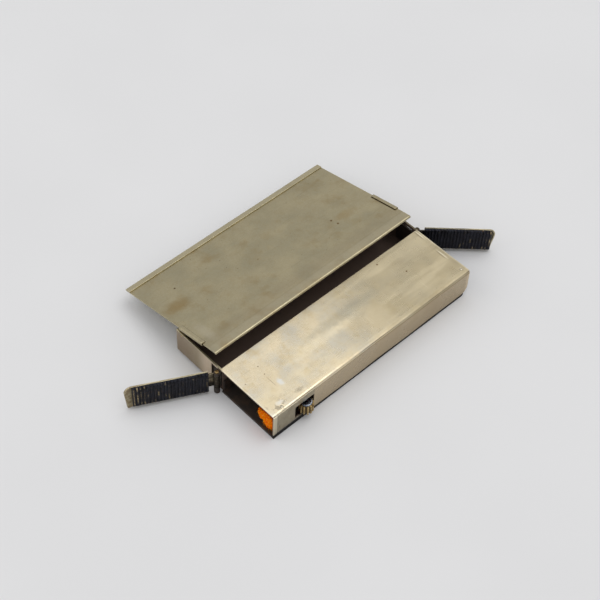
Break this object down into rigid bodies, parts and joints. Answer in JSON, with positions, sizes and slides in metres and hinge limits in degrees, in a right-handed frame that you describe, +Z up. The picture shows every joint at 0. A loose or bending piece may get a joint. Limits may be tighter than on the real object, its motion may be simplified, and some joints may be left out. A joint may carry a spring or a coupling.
{
  "type": "striker lighter",
  "caption": "Flat pocket lighter with a tinder cord in an open-ended channel, a thumb feed wheel, a ribbed striker arm at each end, and a tray under a lid that slides and tips.",
  "frame": {"origin": "middle of the underside of the case, on the surface that it lies on", "axes": "+X along the case from the cord outlet at the left end to the right end, +Y from the wheel side to the tray side, +Z up out of the tray"},
  "size_m": [0.1231, 0.0678, 0.0148],
  "materials": {
    "nickel_plate": "warm nickel plate, polished, lightly scuffed",
    "nickel_plate_dull": "warm nickel plate, dulled and spotted with age",
    "nickel_plate_dark": "warm nickel plate, worn grey at the left",
    "blackened_steel": "blackened sheet steel, worn at its edges",
    "blued_steel": "blued, crests worn bare",
    "spring_steel": "plain spring steel",
    "bright_steel": "bright",
    "brass": "tarnished brass",
    "tinder_cotton": "orange cotton tinder cord, fuzzy and charred at its end"
  },
  "bodies": {
    "case": {"rear_tray": "nickel_plate_dull", "base_plate": "blackened_steel", "front_cover": "nickel_plate", "wheel_panel": "nickel_plate_dark", "corner_brace": "nickel_plate_dull", "cover_rivet_left": "bright_steel", "cover_rivet_right": "bright_steel", "hinge_leaf_left": "blackened_steel", "hinge_leaf_right": "blackened_steel", "hinge_pin_left": "brass", "hinge_pin_right": "brass", "carrier_pin_left": "brass", "carrier_pin_right": "brass", "wheel_axle": "blackened_steel", "cord_guide": "blackened_steel", "pressure_spring": "spring_steel", "spring_rivet": "bright_steel"},
    "arm_left": {"arm_plate_left": "nickel_plate_dull", "striker_left": "blued_steel"},
    "arm_right": {"arm_plate_right": "nickel_plate_dull", "striker_right": "blued_steel"},
    "carrier": {"lid_carrier": "nickel_plate_dull"},
    "lid": {"lid_plate": "nickel_plate_dull"},
    "wheel": {"feed_wheel": "brass", "wheel_collar": "bright_steel"},
    "cord": {"tinder_cord": "tinder_cotton"}
  },
  "joints": [
    {"name": "arm_left_swing", "type": "hinge", "parent": "case", "child": "arm_left", "pos_m": [-0.0409, 0.00215, 0], "axis": [0, 0, 1], "range_deg": [-4, 118]},
    {"name": "arm_right_swing", "type": "hinge", "parent": "case", "child": "arm_right", "pos_m": [0.0409, 0.00215, 0], "axis": [0, 0, 1], "range_deg": [-46, 76]},
    {"name": "lid_tilt", "type": "hinge", "parent": "case", "child": "carrier", "pos_m": [0, 0.01865, 0.0093], "axis": [1, 0, 0], "range_deg": [0, 12.5]},
    {"name": "lid_slide", "type": "slide", "parent": "carrier", "child": "lid", "axis": [0, -0.9763, 0.2164], "range_m": [-0.005, 0.0234]},
    {"name": "cord_feed", "type": "slide", "parent": "case", "child": "cord", "axis": [-1, 0, 0], "range_m": [-0.006, 0.0006]},
    {"name": "wheel_turn", "type": "hinge", "parent": "case", "child": "wheel", "pos_m": [-0.0272, -0.02035, 0], "axis": [0, 0, 1], "range_deg": [-149.5, 15]}
  ],
  "couplings": [
    {"joint": "wheel_turn", "follows": "cord_feed", "rad_per_m": 434.78}
  ]
}
